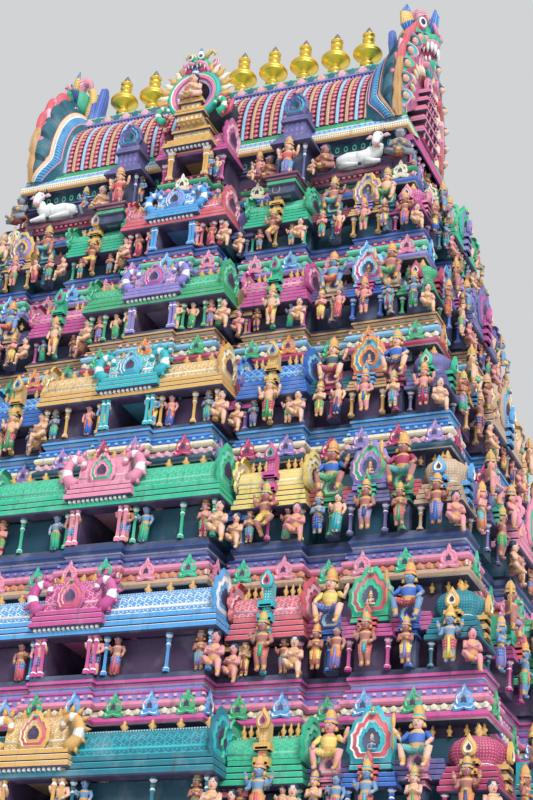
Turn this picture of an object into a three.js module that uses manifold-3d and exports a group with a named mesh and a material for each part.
// A seven-storey temple gateway tower: a granite gateway storey with a passage through it,
// six battered storeys of plastered brick and a neck storey that carries a barrel roof with
// two crested gables and nine finials. Lengths are in millimetres, +Z is up, the front faces
// -Y, and the origin is on the ground at the middle of the passage.
import * as THREE from "three";
import { mergeVertices } from "three/addons/utils/BufferGeometryUtils.js";
import Module from "manifold-3d";

const wasm = await Module();
wasm.setup();

// Tops of the cornice slabs, from the one on the granite storey to the one under the neck
const LEVELS = [9900, 13600, 17280, 21000, 24390, 27520, 30490];
const HALF_WIDTHS = [11100, 10300, 9570, 8800, 8100, 7450, 6830];
const HALF_DEPTHS = [6300, 5500, 4790, 4030, 3330, 2690, 2080];
const NECK = LEVELS.length - 1;
const SLAB = 500;
const LIP_SLOPE = 120;
const OVERHANG = 350;
const WALL = 500;

// Barrel roof
const EAVE_TOP = 32810;
const EAVE_BOTTOM = 32360;
const EAVE_HALF_WIDTH = 6450;
const EAVE_HALF_DEPTH = 1920;
const ROOF_HALF_LENGTH = 5400;
const ROOF_SHELL = 300;
const EAVE_CHAMFER = 250;
const EAVE_SLOPE = 60;
const RIDGE_BOTTOM = 35450;
const RIDGE_TOP = 36347;
const RIDGE_HALF_DEPTH = 430;
const RIDGE_INSET = 100;
const DORMER_BACK = 900;
const DORMER_FRONT = 3120;
const DORMER_FOOT = 33150;
const DORMER_HALF_WIDTH = 900;
const DORMER_HEIGHT = 1900;
const NICHE_FOOT = 250;
const NICHE_DEPTH = 260;
const NICHE_HALF_WIDTH = 500;
const NICHE_HEIGHT = 1000;
const GABLE_THICKNESS = 850;

// Front half of the barrel roof's outside and inside above the eave, as [out, z]
const VAULT_OUTSIDE = [[1720, 33700], [1560, 34350], [1250, 34900], [850, 35300]];
const VAULT_INSIDE = [[1420, 33600], [1280, 34200], [950, 34750], [500, 35050]];

// Half of a gable's outline above the eave, and the beast's head on its top as rings of
// [z, half width, back, front]
const GABLE_OUTLINE = [[2060, 33500], [2020, 34600], [1720, 35600], [1150, 36500], [520, 37050]];
const GABLE_TOP = 37300;
const CREST = [[36500, 420, 5700, 6500], [37150, 520, 5650, 6750], [37650, 480, 5700, 6650],
  [38000, 300, 5750, 6700], [38300, 120, 5950, 6500]];

// The guardian mask over a dormer, as rings of [height over its foot, half width, back, front inset]
const MASK = [[1500, 400, 2300, 40], [2000, 440, 2300, -60], [2450, 260, 2450, 100], [2800, 90, 2550, 250]];

// Finials along the ridge
const FINIAL_COUNT = 9;
const FINIAL_SPACING = 1071;
const FINIAL_HEIGHT = 1653;
const FINIAL_RADIUS = 430;
const FINIAL_ROOT = 100;

// Granite storey and the passage through it
const PLINTH_HALF_WIDTH = 11900;
const PLINTH_HALF_DEPTH = 7100;
const PASSAGE_HALF_WIDTH = 2000;
const PASSAGE_HEIGHT = 6800;
const FRAME_WIDTH = 400;
const FRAME_DEPTH = 800;
const FRAME_INSET = 700;
const GRANITE_INSET = 900;
const CEILING_HALF_DEPTH = PLINTH_HALF_DEPTH - GRANITE_INSET;

// Mouldings of the granite storey as [z, inset from the plinth]
const GRANITE_COURSES = [[0, 0], [500, 0], [700, 200], [1500, 200], [1700, 500], [2300, 420], [2500, 700],
  [7900, GRANITE_INSET], [8150, 500], [8500, 560], [8700, 850], [LEVELS[0] - SLAB, 850]];

// Bays of a storey: how far each steps forward of the cornice line
const RECESS = -300;
const SALA_STEP = 120;
const PORCH_WING_STEP = 750;
const PORCH_STEP = 950;
const NECK_PORCH_STEP = 1150;
const SIDE_PORCH_STEP = 200;
const BAY_INSET = 50;
const STEP_MARGIN = 150;
const MOULDING_SLOPE = 60;
const SHRINE_INSET = 160;
const BODY_INSET = 90;

// Heights above a cornice slab's top as shares of the storey's height
const PLINTH_TOP = 0.3;
const DOOR_TOP = 0.6;
const PORCH_BODY_TOP = 0.66;
const PORCH_CORNICE_TOP = 0.74;
const WING_BODY_TOP = 0.6;
const WING_CORNICE_TOP = 0.67;
const SHRINE_BODY_TOP = 0.52;
const SHRINE_CORNICE_TOP = 0.62;
const BARREL_TOP = 0.9;
const DOME_TOP = 0.83;
const NECK_PLINTH = 600;
const NECK_PORCH_HEIGHT = 2650;
const PLINTH_INSET = 350;
const FLOOR_PLATE = 400;
const DOOR_SILL = 60;

const CLEARANCE = 0.3;
const GAP = 20;
const CUT = 100;

const whole = Math.round;

// Boolean solids from three.js geometries
function solidOf(geometry) {
  const bare = geometry.clone();
  bare.deleteAttribute("normal");
  bare.deleteAttribute("uv");
  const merged = mergeVertices(bare, 1e-4);
  return new wasm.Manifold(new wasm.Mesh({
    numProp: 3,
    vertProperties: Float32Array.from(merged.attributes.position.array),
    triVerts: Uint32Array.from(merged.index.array),
  }));
}

function union(solids) {
  return solids.reduce((sum, solid) => sum.add(solid));
}

function geometryOf(solid) {
  const mesh = solid.getMesh();
  const geometry = new THREE.BufferGeometry();
  geometry.setAttribute("position", new THREE.Float32BufferAttribute(mesh.vertProperties, 3));
  geometry.setIndex(Array.from(mesh.triVerts));
  return geometry;
}

// A solid of rectangular rings, each given as [z, x0, x1, y0, y1]
function stack(rings) {
  const positions = [];
  for (const [z, x0, x1, y0, y1] of rings) {
    positions.push(x0, y0, z, x1, y0, z, x1, y1, z, x0, y1, z);
  }
  const faces = [0, 2, 1, 0, 3, 2];
  for (let ring = 0; ring < rings.length - 1; ring += 1) {
    for (let side = 0; side < 4; side += 1) {
      const a = 4 * ring + side;
      const b = 4 * ring + (side + 1) % 4;
      faces.push(a, b, b + 4, a, b + 4, a + 4);
    }
  }
  const top = 4 * (rings.length - 1);
  faces.push(top, top + 1, top + 2, top, top + 2, top + 3);
  const geometry = new THREE.BufferGeometry();
  geometry.setAttribute("position", new THREE.Float32BufferAttribute(positions, 3));
  geometry.setIndex(faces);
  return solidOf(geometry);
}

function box(x0, x1, y0, y1, z0, z1) {
  return stack([[z0, x0, x1, y0, y1], [z1, x0, x1, y0, y1]]);
}

// A shape drawn in the (out, z) plane and carried along x from x0 to x1
function alongWall(points, x0, x1) {
  const shape = new THREE.Shape(points.map(([out, z]) => new THREE.Vector2(out, z)));
  const geometry = new THREE.ExtrudeGeometry(shape, { depth: x1 - x0, bevelEnabled: false });
  geometry.applyMatrix4(new THREE.Matrix4().makeBasis(
    new THREE.Vector3(0, 1, 0), new THREE.Vector3(0, 0, 1), new THREE.Vector3(1, 0, 0)));
  geometry.translate(x0, 0, 0);
  return solidOf(geometry);
}

// A shape drawn in the (x, z) plane and carried outward from y0 to y1
function outOfWall(points, y0, y1) {
  const shape = new THREE.Shape(points.map(([x, z]) => new THREE.Vector2(x, z)));
  const geometry = new THREE.ExtrudeGeometry(shape, { depth: y1 - y0, bevelEnabled: false });
  geometry.rotateX(Math.PI / 2);
  geometry.translate(0, y1, 0);
  return solidOf(geometry);
}

// Outline of a horseshoe arch with a small peak, from its foot up
function horseshoe(centre, foot, halfWidth, height) {
  const radius = halfWidth;
  const points = [[centre - 0.7 * halfWidth, foot], [centre + 0.7 * halfWidth, foot]];
  const rise = 0.85 * height - radius;
  const springing = foot + Math.max(rise, 0.4 * radius);
  const arcOn = (side, step) => {
    const angle = THREE.MathUtils.degToRad(40 * step);
    return [centre + side * radius * Math.cos(angle), springing + radius * Math.sin(angle)];
  };
  points.push(arcOn(1, 0), arcOn(1, 1), [centre, foot + height], arcOn(-1, 1), arcOn(-1, 0));
  return points;
}

function lathe(profile, sides, x, y, z) {
  const points = profile.map(([radius, height]) => new THREE.Vector2(radius, height));
  const geometry = new THREE.LatheGeometry(points, sides, Math.PI / sides);
  geometry.rotateX(Math.PI / 2);
  geometry.translate(x, y, z);
  return solidOf(geometry);
}

// Plan of a storey: its levels, wall lines and the centres and half-widths of its bays
function planOf(k) {
  const width = HALF_WIDTHS[k];
  const depth = HALF_DEPTHS[k];
  const isNeck = k === NECK;
  const wallWidth = isNeck ? EAVE_HALF_WIDTH - 450 : HALF_WIDTHS[k + 1] - OVERHANG;
  const wallDepth = isNeck ? EAVE_HALF_DEPTH - 450 : HALF_DEPTHS[k + 1] - OVERHANG;
  const top = isNeck ? EAVE_BOTTOM : LEVELS[k + 1] - SLAB;
  const height = isNeck ? EAVE_BOTTOM - LEVELS[k] : LEVELS[k + 1] - LEVELS[k];
  const kutaHalf = whole(0.055 * width);
  const kutaX = whole(0.91 * width);
  const besideKuta = whole(kutaX - 1.15 * kutaHalf);
  return {
    width, depth, isNeck, wallWidth, wallDepth, top,
    cornerX: isNeck ? wallWidth - WALL : Math.min(wallWidth - WALL, besideKuta),
    level: LEVELS[k],
    floor: LEVELS[k] + (isNeck ? NECK_PLINTH : whole(PLINTH_TOP * height)),
    height,
    back: wallDepth - WALL,
    porchStep: isNeck ? NECK_PORCH_STEP : PORCH_STEP,
    porchHalf: whole(300 + 0.055 * width),
    doorHalf: whole(275 + 0.025 * width),
    wingHalf: whole(0.8 * width - 4400),
    salaCentre: whole(0.689 * width - 2210),
    salaHalf: 980,
    panjaraCentre: whole(0.63 * width + 907),
    panjaraHalf: whole(150 + 0.035 * width),
    kutaHalf,
    kutaX,
    kutaY: whole(depth - 150 - kutaHalf),
    sidePorchHalf: whole(150 + 0.28 * depth),
  };
}

// Cornice and plinth under a storey, with a forward step under every bay, and its floor plate,
// which is open below over the room of the storey beneath
function storeyFloor(k) {
  const plan = planOf(k);
  const { level, floor } = plan;
  const stepped = (halfX, halfY, centreX = 0, centreY = 0) => {
    const ring = (z, grow) => [z, centreX - halfX - grow, centreX + halfX + grow,
      centreY - halfY - grow, centreY + halfY + grow];
    const cornice = stack([ring(level - SLAB, 0), ring(level, -LIP_SLOPE)]);
    return cornice.add(stack([ring(level - SLAB, -PLINTH_INSET), ring(floor, -PLINTH_INSET)]));
  };
  const blocks = [
    stepped(plan.width + RECESS, plan.depth + RECESS),
    stepped(plan.wingHalf, plan.depth + PORCH_WING_STEP),
    stepped(plan.porchHalf + STEP_MARGIN, plan.depth + plan.porchStep),
    stepped(plan.width + SIDE_PORCH_STEP, plan.sidePorchHalf),
  ];
  for (const sideX of [-1, 1]) {
    blocks.push(stepped(plan.salaHalf + 100, plan.depth + SALA_STEP, sideX * plan.salaCentre));
    const inner = plan.isNeck ? plan.kutaX - plan.kutaHalf : plan.panjaraCentre - plan.panjaraHalf - 100;
    const reachX = whole((plan.width - inner) / 2);
    const reachY = plan.kutaHalf + 75;
    for (const sideY of [-1, 1]) {
      blocks.push(stepped(reachX, reachY, sideX * (plan.width - reachX), sideY * (plan.depth - reachY)));
    }
  }
  const solid = union(blocks);
  if (k === 0) {
    return solid;
  }
  const below = planOf(k - 1);
  const halfY = below.wallDepth - WALL;
  const room = box(-below.cornerX, below.cornerX, -halfY, halfY, level - SLAB - CUT, floor - FLOOR_PLATE);
  return solid.subtract(room);
}

// How far out the slab above reaches over a bay, so that a roof in front of it stays clear
function ledgeOver(k, step) {
  if (k === NECK) {
    return EAVE_HALF_DEPTH + 60;
  }
  return HALF_DEPTHS[k + 1] + step + GAP;
}

// Points of a barrel roof's front half, from its springing line up to its top
function barrel(front, behind, foot, top) {
  const points = [];
  for (let step = 0; step <= 3; step += 1) {
    const angle = THREE.MathUtils.degToRad(30 * step);
    points.push([behind + (front - behind) * Math.cos(angle), foot + (top - foot) * Math.sin(angle)]);
  }
  return points;
}

// A bay of a wall: a recessed body, a projecting cornice and a barrel roof along the wall
function barrelBay(plan, centre, half, line, behind, shares, top) {
  const tall = plan.isNeck ? NECK_PORCH_HEIGHT : plan.height;
  const z = (share) => whole(plan.level + share * tall);
  return alongWall([
    [plan.back, plan.floor], [line - shares.recess, plan.floor], [line - shares.recess, z(shares.body)],
    [line, z(shares.body) + MOULDING_SLOPE], [line, z(shares.cornice) - MOULDING_SLOPE],
    ...barrel(line - MOULDING_SLOPE, behind, z(shares.cornice), top),
    [behind, plan.top], [plan.back, plan.top],
  ], centre - half, centre + half);
}

// A miniature shrine whose roof is a horseshoe gable
function panjara(plan, centre, half, back, front, behind) {
  const z = (share) => whole(plan.level + share * plan.height);
  const body = alongWall([
    [back, plan.floor], [front - 100, plan.floor], [front - 100, z(SHRINE_BODY_TOP - 0.04)],
    [front + 40, z(SHRINE_BODY_TOP)], [front - MOULDING_SLOPE, z(SHRINE_CORNICE_TOP)],
    [front - MOULDING_SLOPE, z(0.7)], [back, z(0.7)],
  ], centre - half, centre + half);
  const outline = horseshoe(centre, z(SHRINE_CORNICE_TOP), half + 40, 0.31 * plan.height);
  const arch = outOfWall(outline, behind, front);
  return union([body, arch]);
}

// A corner shrine with an eight-sided dome
function kuta(plan, x, y) {
  const half = plan.kutaHalf;
  const z = (share) => whole(plan.level + share * plan.height);
  const ring = (height, grow) => [height, x - half - grow, x + half + grow, y - half - grow, y + half + grow];
  const body = stack([
    ring(plan.floor, -BODY_INSET), ring(z(0.47), -BODY_INSET), ring(z(0.51), MOULDING_SLOPE),
    ring(z(SHRINE_CORNICE_TOP), -MOULDING_SLOPE),
  ]);
  const domeFoot = z(0.61);
  const rise = Math.min(z(DOME_TOP), plan.top - 40) - domeFoot;
  const dome = lathe([
    [0, 0], [0.9 * half, 0], [1.1 * half, 0.35 * rise], [0.8 * half, 0.75 * rise], [0, rise],
  ], 8, x, y, domeFoot);
  return union([body, dome]);
}

// The porch at the middle of a wall, before its doorway is cut: a barrel-roofed centre between
// two lower barrel-roofed wings, which leave room for the step of the cornice above
function porch(k, plan) {
  const { porchHalf, wingHalf, depth } = plan;
  const above = planOf(Math.min(k + 1, NECK));
  const behind = ledgeOver(k, above.porchStep) + GAP;
  const wingBehind = ledgeOver(k, PORCH_WING_STEP) + GAP;
  const centreTop = plan.isNeck ? DORMER_FOOT : whole(plan.level + 0.95 * plan.height);
  const wingTop = plan.isNeck ? DORMER_FOOT - STEP_MARGIN : whole(plan.level + BARREL_TOP * plan.height);
  const centre = barrelBay(plan, 0, porchHalf, depth + plan.porchStep - BAY_INSET, behind,
    { recess: 150, body: PORCH_BODY_TOP, cornice: PORCH_CORNICE_TOP }, centreTop);
  const wings = barrelBay(plan, 0, wingHalf, depth + PORCH_WING_STEP - BAY_INSET, wingBehind,
    { recess: 350, body: WING_BODY_TOP, cornice: WING_CORNICE_TOP }, wingTop);
  if (plan.isNeck) {
    return union([centre, wings]);
  }
  const room = above.porchHalf + STEP_MARGIN + 1;
  return union([centre, wings.subtract(box(-room, room, 0, 2 * depth, plan.top, plan.top + SLAB))]);
}

// Front or back wall of a storey, drawn facing +Y, with a doorway through it
function longWall(k) {
  const plan = planOf(k);
  const { wallDepth, depth, floor, top, back, cornerX } = plan;
  const solids = [box(-cornerX, cornerX, back, wallDepth, floor, top), porch(k, plan)];
  for (const side of [-1, 1]) {
    if (plan.isNeck) {
      continue;
    }
    const barrelTop = whole(plan.level + BARREL_TOP * plan.height);
    solids.push(barrelBay(plan, side * plan.salaCentre, plan.salaHalf, depth, ledgeOver(k, SALA_STEP),
      { recess: 450, body: SHRINE_BODY_TOP, cornice: SHRINE_CORNICE_TOP }, barrelTop));
    solids.push(panjara(plan, side * plan.panjaraCentre, plan.panjaraHalf, wallDepth, depth - SHRINE_INSET,
      ledgeOver(k, 0)));
  }
  const tall = plan.isNeck ? NECK_PORCH_HEIGHT : plan.height;
  const doorTop = whole(plan.level + DOOR_TOP * tall);
  const doorway = box(-plan.doorHalf, plan.doorHalf, back - CUT, depth + plan.porchStep + CUT,
    floor + DOOR_SILL, doorTop);
  return union(solids).subtract(doorway);
}

// Side wall of a storey with its two corner shrines, drawn facing +Y with the wall along X
function sideWall(k) {
  const plan = planOf(k);
  const { wallWidth, wallDepth, width, floor, top, cornerX } = plan;
  const solids = [box(-wallDepth, wallDepth, cornerX, wallWidth, floor, top)];
  const next = plan.isNeck ? EAVE_HALF_WIDTH : HALF_WIDTHS[k + 1] + SIDE_PORCH_STEP;
  const porchTop = plan.isNeck ? top : whole(plan.level + BARREL_TOP * plan.height);
  const line = width + SIDE_PORCH_STEP - BAY_INSET;
  solids.push(barrelBay({ ...plan, back: cornerX }, 0, plan.sidePorchHalf, line, next + 2 * GAP,
    { recess: 250, body: WING_BODY_TOP, cornice: WING_CORNICE_TOP }, porchTop));
  if (!plan.isNeck) {
    for (const side of [-1, 1]) {
      solids.push(kuta(plan, side * plan.kutaY, plan.kutaX));
      const gapStart = plan.sidePorchHalf;
      const gapEnd = plan.kutaY - plan.kutaHalf;
      const half = whole(0.28 * (gapEnd - gapStart));
      if (half > 300) {
        const centre = side * whole((gapStart + gapEnd) / 2);
        solids.push(panjara(plan, centre, half, wallWidth, width - SHRINE_INSET, HALF_WIDTHS[k + 1] + GAP));
      }
    }
  }
  return union(solids);
}

// Outline of the eave and the barrel roof over it, made larger all round by grow
function roofOutline(grow) {
  return [
    [EAVE_HALF_DEPTH - EAVE_CHAMFER + grow, EAVE_BOTTOM],
    [EAVE_HALF_DEPTH + grow, EAVE_BOTTOM + EAVE_CHAMFER + grow],
    [EAVE_HALF_DEPTH - EAVE_SLOPE + grow, EAVE_TOP + grow],
    [EAVE_HALF_DEPTH - 200 + grow, EAVE_TOP + 200 + grow],
    ...VAULT_OUTSIDE.map(([out, z]) => [out + grow, z + grow]),
    [RIDGE_HALF_DEPTH + grow, RIDGE_BOTTOM + grow],
  ];
}

function mirrored(points) {
  return points.concat(points.slice().reverse().map(([out, z]) => [-out, z]));
}

// Barrel roof: a shell along X, open at both ends and below
function roofVault() {
  const inside = [[EAVE_HALF_DEPTH - EAVE_CHAMFER - ROOF_SHELL, EAVE_BOTTOM - CUT], ...VAULT_INSIDE];
  const shell = alongWall(mirrored(roofOutline(0)), -ROOF_HALF_LENGTH, ROOF_HALF_LENGTH);
  const hollow = alongWall(mirrored(inside), -ROOF_HALF_LENGTH - CUT, ROOF_HALF_LENGTH + CUT);
  return shell.subtract(hollow);
}

// End gable: a closed horseshoe wall with a raised crest, drawn facing +Y
function gable() {
  const left = GABLE_OUTLINE.slice().reverse().map(([out, z]) => [-out, z]);
  const outline = [[-EAVE_HALF_DEPTH, EAVE_BOTTOM], [EAVE_HALF_DEPTH, EAVE_BOTTOM], ...GABLE_OUTLINE,
    [0, GABLE_TOP], ...left];
  const wall = outOfWall(outline, ROOF_HALF_LENGTH, ROOF_HALF_LENGTH + GABLE_THICKNESS);
  const head = stack(CREST.map(([z, half, back, front]) => [z, -half, half, back, front]));
  const eaveRing = (z, inset) => [z, -EAVE_HALF_DEPTH + inset, EAVE_HALF_DEPTH - inset, ROOF_HALF_LENGTH,
    EAVE_HALF_WIDTH - inset];
  const eave = stack([
    eaveRing(EAVE_BOTTOM, EAVE_CHAMFER), eaveRing(EAVE_BOTTOM + EAVE_CHAMFER, 0),
    eaveRing(EAVE_TOP, EAVE_SLOPE),
  ]);
  return union([wall, head, eave]);
}

// Middle dormer of the roof: a horseshoe gable with a shallow niche, drawn facing +Y
function dormer() {
  const foot = DORMER_FOOT;
  const front = DORMER_FRONT;
  const arch = outOfWall(horseshoe(0, foot, DORMER_HALF_WIDTH, DORMER_HEIGHT), DORMER_BACK, front);
  const mask = stack(MASK.map(([rise, half, back, inset]) => [foot + rise, -half, half, back, front - inset]));
  const opening = horseshoe(0, foot + NICHE_FOOT, NICHE_HALF_WIDTH, NICHE_HEIGHT);
  const niche = outOfWall(opening, front - NICHE_DEPTH, front + CUT);
  const roof = alongWall(mirrored(roofOutline(CLEARANCE)), -ROOF_HALF_LENGTH, ROOF_HALF_LENGTH);
  return union([arch, mask]).subtract(niche).subtract(roof);
}

// Ridge band and the nine finials that stand on it
function ridge() {
  const half = ROOF_HALF_LENGTH - RIDGE_INSET;
  const solids = [box(-half, half, -RIDGE_HALF_DEPTH, RIDGE_HALF_DEPTH, RIDGE_BOTTOM, RIDGE_TOP)];
  const r = FINIAL_RADIUS;
  const h = FINIAL_HEIGHT;
  const profile = [[0, -FINIAL_ROOT], [0.62 * r, -FINIAL_ROOT], [0.62 * r, 0.1 * h], [0.3 * r, 0.17 * h],
    [0.95 * r, 0.3 * h], [r, 0.42 * h], [0.55 * r, 0.55 * h], [0.5 * r, 0.65 * h], [0.12 * r, 0.85 * h], [0, h]];
  for (let i = 0; i < FINIAL_COUNT; i += 1) {
    solids.push(lathe(profile, 8, (i - (FINIAL_COUNT - 1) / 2) * FINIAL_SPACING, 0, RIDGE_TOP));
  }
  return union(solids);
}

// One side of the granite storey, from the passage to the tower's end
function graniteBlock(side) {
  return stack(GRANITE_COURSES.map(([z, inset]) => {
    const near = side * PASSAGE_HALF_WIDTH;
    const far = side * (PLINTH_HALF_WIDTH - inset);
    return [z, Math.min(near, far), Math.max(near, far), -PLINTH_HALF_DEPTH + inset, PLINTH_HALF_DEPTH - inset];
  }));
}

// Door frame of the passage: two jambs and a lintel
function passageFrame() {
  const back = CEILING_HALF_DEPTH - FRAME_INSET - FRAME_DEPTH;
  const span = PASSAGE_HALF_WIDTH;
  const outer = box(-span, span, back, back + FRAME_DEPTH, 0, PASSAGE_HEIGHT);
  const inner = box(-span + FRAME_WIDTH, span - FRAME_WIDTH, back - CUT, back + FRAME_DEPTH + CUT,
    -CUT, PASSAGE_HEIGHT - FRAME_WIDTH);
  return outer.subtract(inner);
}

const GRANITE = { color: 0x8d8a84, roughness: 0.9, metalness: 0 };
const GOLD = { color: 0xd8a12a, roughness: 0.25, metalness: 1 };
const WALL_COLOURS = [0x2f9a86, 0xb0417d, 0x3f74c2, 0xd9a32b, 0x7d63b8, 0x2fa36b, 0xc2455a];
const CORNICE_COLOURS = [0x8d8a84, 0x2e9a9a, 0xc9943c, 0x1f6b4a, 0xb03050, 0x6a4fa0, 0x3f74c2];

const tower = new THREE.Group();

function addPiece(name, solid, look, turn = 0) {
  const mesh = new THREE.Mesh(geometryOf(solid), new THREE.MeshStandardMaterial(look));
  mesh.name = name;
  mesh.rotation.z = turn;
  tower.add(mesh);
}

function plaster(color) {
  return { color, roughness: 0.6, metalness: 0 };
}

addPiece("base_left_block", graniteBlock(-1), GRANITE);
addPiece("base_right_block", graniteBlock(1), GRANITE);
addPiece("gateway_ceiling", box(-PASSAGE_HALF_WIDTH, PASSAGE_HALF_WIDTH, -CEILING_HALF_DEPTH,
  CEILING_HALF_DEPTH, PASSAGE_HEIGHT, LEVELS[0] - SLAB), GRANITE);
addPiece("gateway_back_frame", passageFrame(), GRANITE);
addPiece("gateway_front_frame", passageFrame(), GRANITE, Math.PI);
LEVELS.forEach((level, k) => {
  const storey = k === NECK ? "neck" : `storey_${k + 1}`;
  addPiece(`${storey}_floor`, storeyFloor(k), plaster(CORNICE_COLOURS[k]));
  addPiece(`${storey}_back_wall`, longWall(k), plaster(WALL_COLOURS[k]));
  addPiece(`${storey}_front_wall`, longWall(k), plaster(WALL_COLOURS[k]), Math.PI);
  addPiece(`${storey}_right_wall`, sideWall(k), plaster(WALL_COLOURS[k]), -Math.PI / 2);
  addPiece(`${storey}_left_wall`, sideWall(k), plaster(WALL_COLOURS[k]), Math.PI / 2);
});
addPiece("roof_vault", roofVault(), plaster(0x8c2f3a));
addPiece("gable_right", gable(), plaster(0x1f6f6a), -Math.PI / 2);
addPiece("gable_left", gable(), plaster(0x1f6f6a), Math.PI / 2);
addPiece("dormer_back", dormer(), plaster(0x2aa39a));
addPiece("dormer_front", dormer(), plaster(0x2aa39a), Math.PI);
addPiece("ridge_and_finials", ridge(), GOLD);

export default tower;
